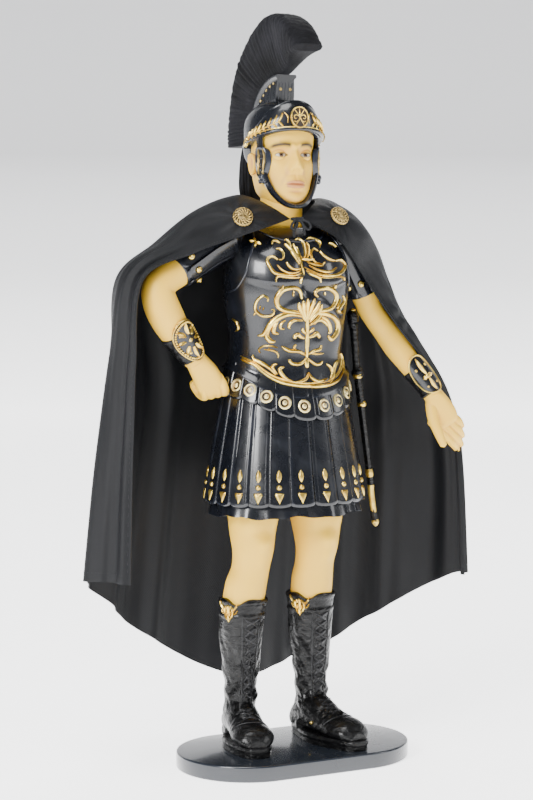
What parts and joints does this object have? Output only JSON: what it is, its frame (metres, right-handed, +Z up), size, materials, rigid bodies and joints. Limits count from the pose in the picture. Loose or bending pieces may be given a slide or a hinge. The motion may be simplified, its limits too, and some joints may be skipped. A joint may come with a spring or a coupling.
{
  "type": "soldier statue",
  "caption": "Painted resin statue of a Roman soldier in a muscle cuirass and crested helmet, with a long black cloth cape and a sheathed sword, on a low rounded board.",
  "frame": {"origin": "middle of the board's underside", "axes": "+Z up, the soldier faces -Y, and the soldier's right hand is on the -X side"},
  "size_m": [0.542, 0.2789, 0.9342],
  "materials": {
    "painted_resin": "satin black, flesh and gilt paint over cast resin",
    "black_cloth": "soft sheen",
    "black_bristle": "matt",
    "gilt": "antique gilt",
    "black_leather": "satin",
    "black_lacquer": "satin black lacquer"
  },
  "bodies": {
    "root": {"board": "black_lacquer", "figure": "painted_resin", "crest": "black_bristle", "cape": "black_cloth", "cape_tie": "black_cloth", "right_brooch": "gilt", "left_brooch": "gilt", "sword": "black_leather"}
  },
  "joints": []
}
